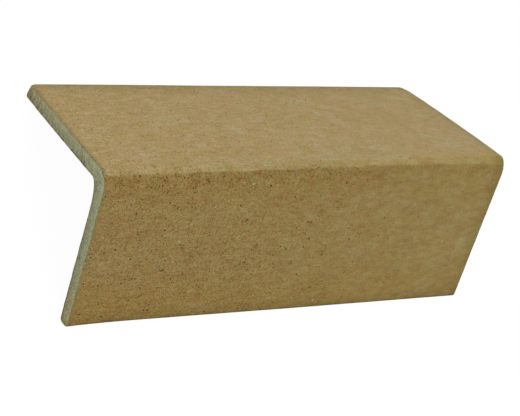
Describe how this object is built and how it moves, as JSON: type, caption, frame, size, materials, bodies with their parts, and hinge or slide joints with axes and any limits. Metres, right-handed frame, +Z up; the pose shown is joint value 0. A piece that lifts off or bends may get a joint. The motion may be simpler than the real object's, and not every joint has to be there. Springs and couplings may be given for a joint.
{
  "type": "pallet edge protector",
  "caption": "Right-angled edge protector folded from laminated kraft board, with rounded free edges and sawn ends, set over a pallet load's edge under straps.",
  "frame": {"origin": "on the floor, at the centre of the bounding box's base, between the two free edges the board stands on", "axes": "+X along the length, +Z up through the fold, -Y towards the narrower front flange"},
  "size_m": [0.15, 0.071, 0.0367],
  "materials": {
    "board": "matte"
  },
  "bodies": {
    "root": {"angle_board": "board"}
  },
  "joints": []
}
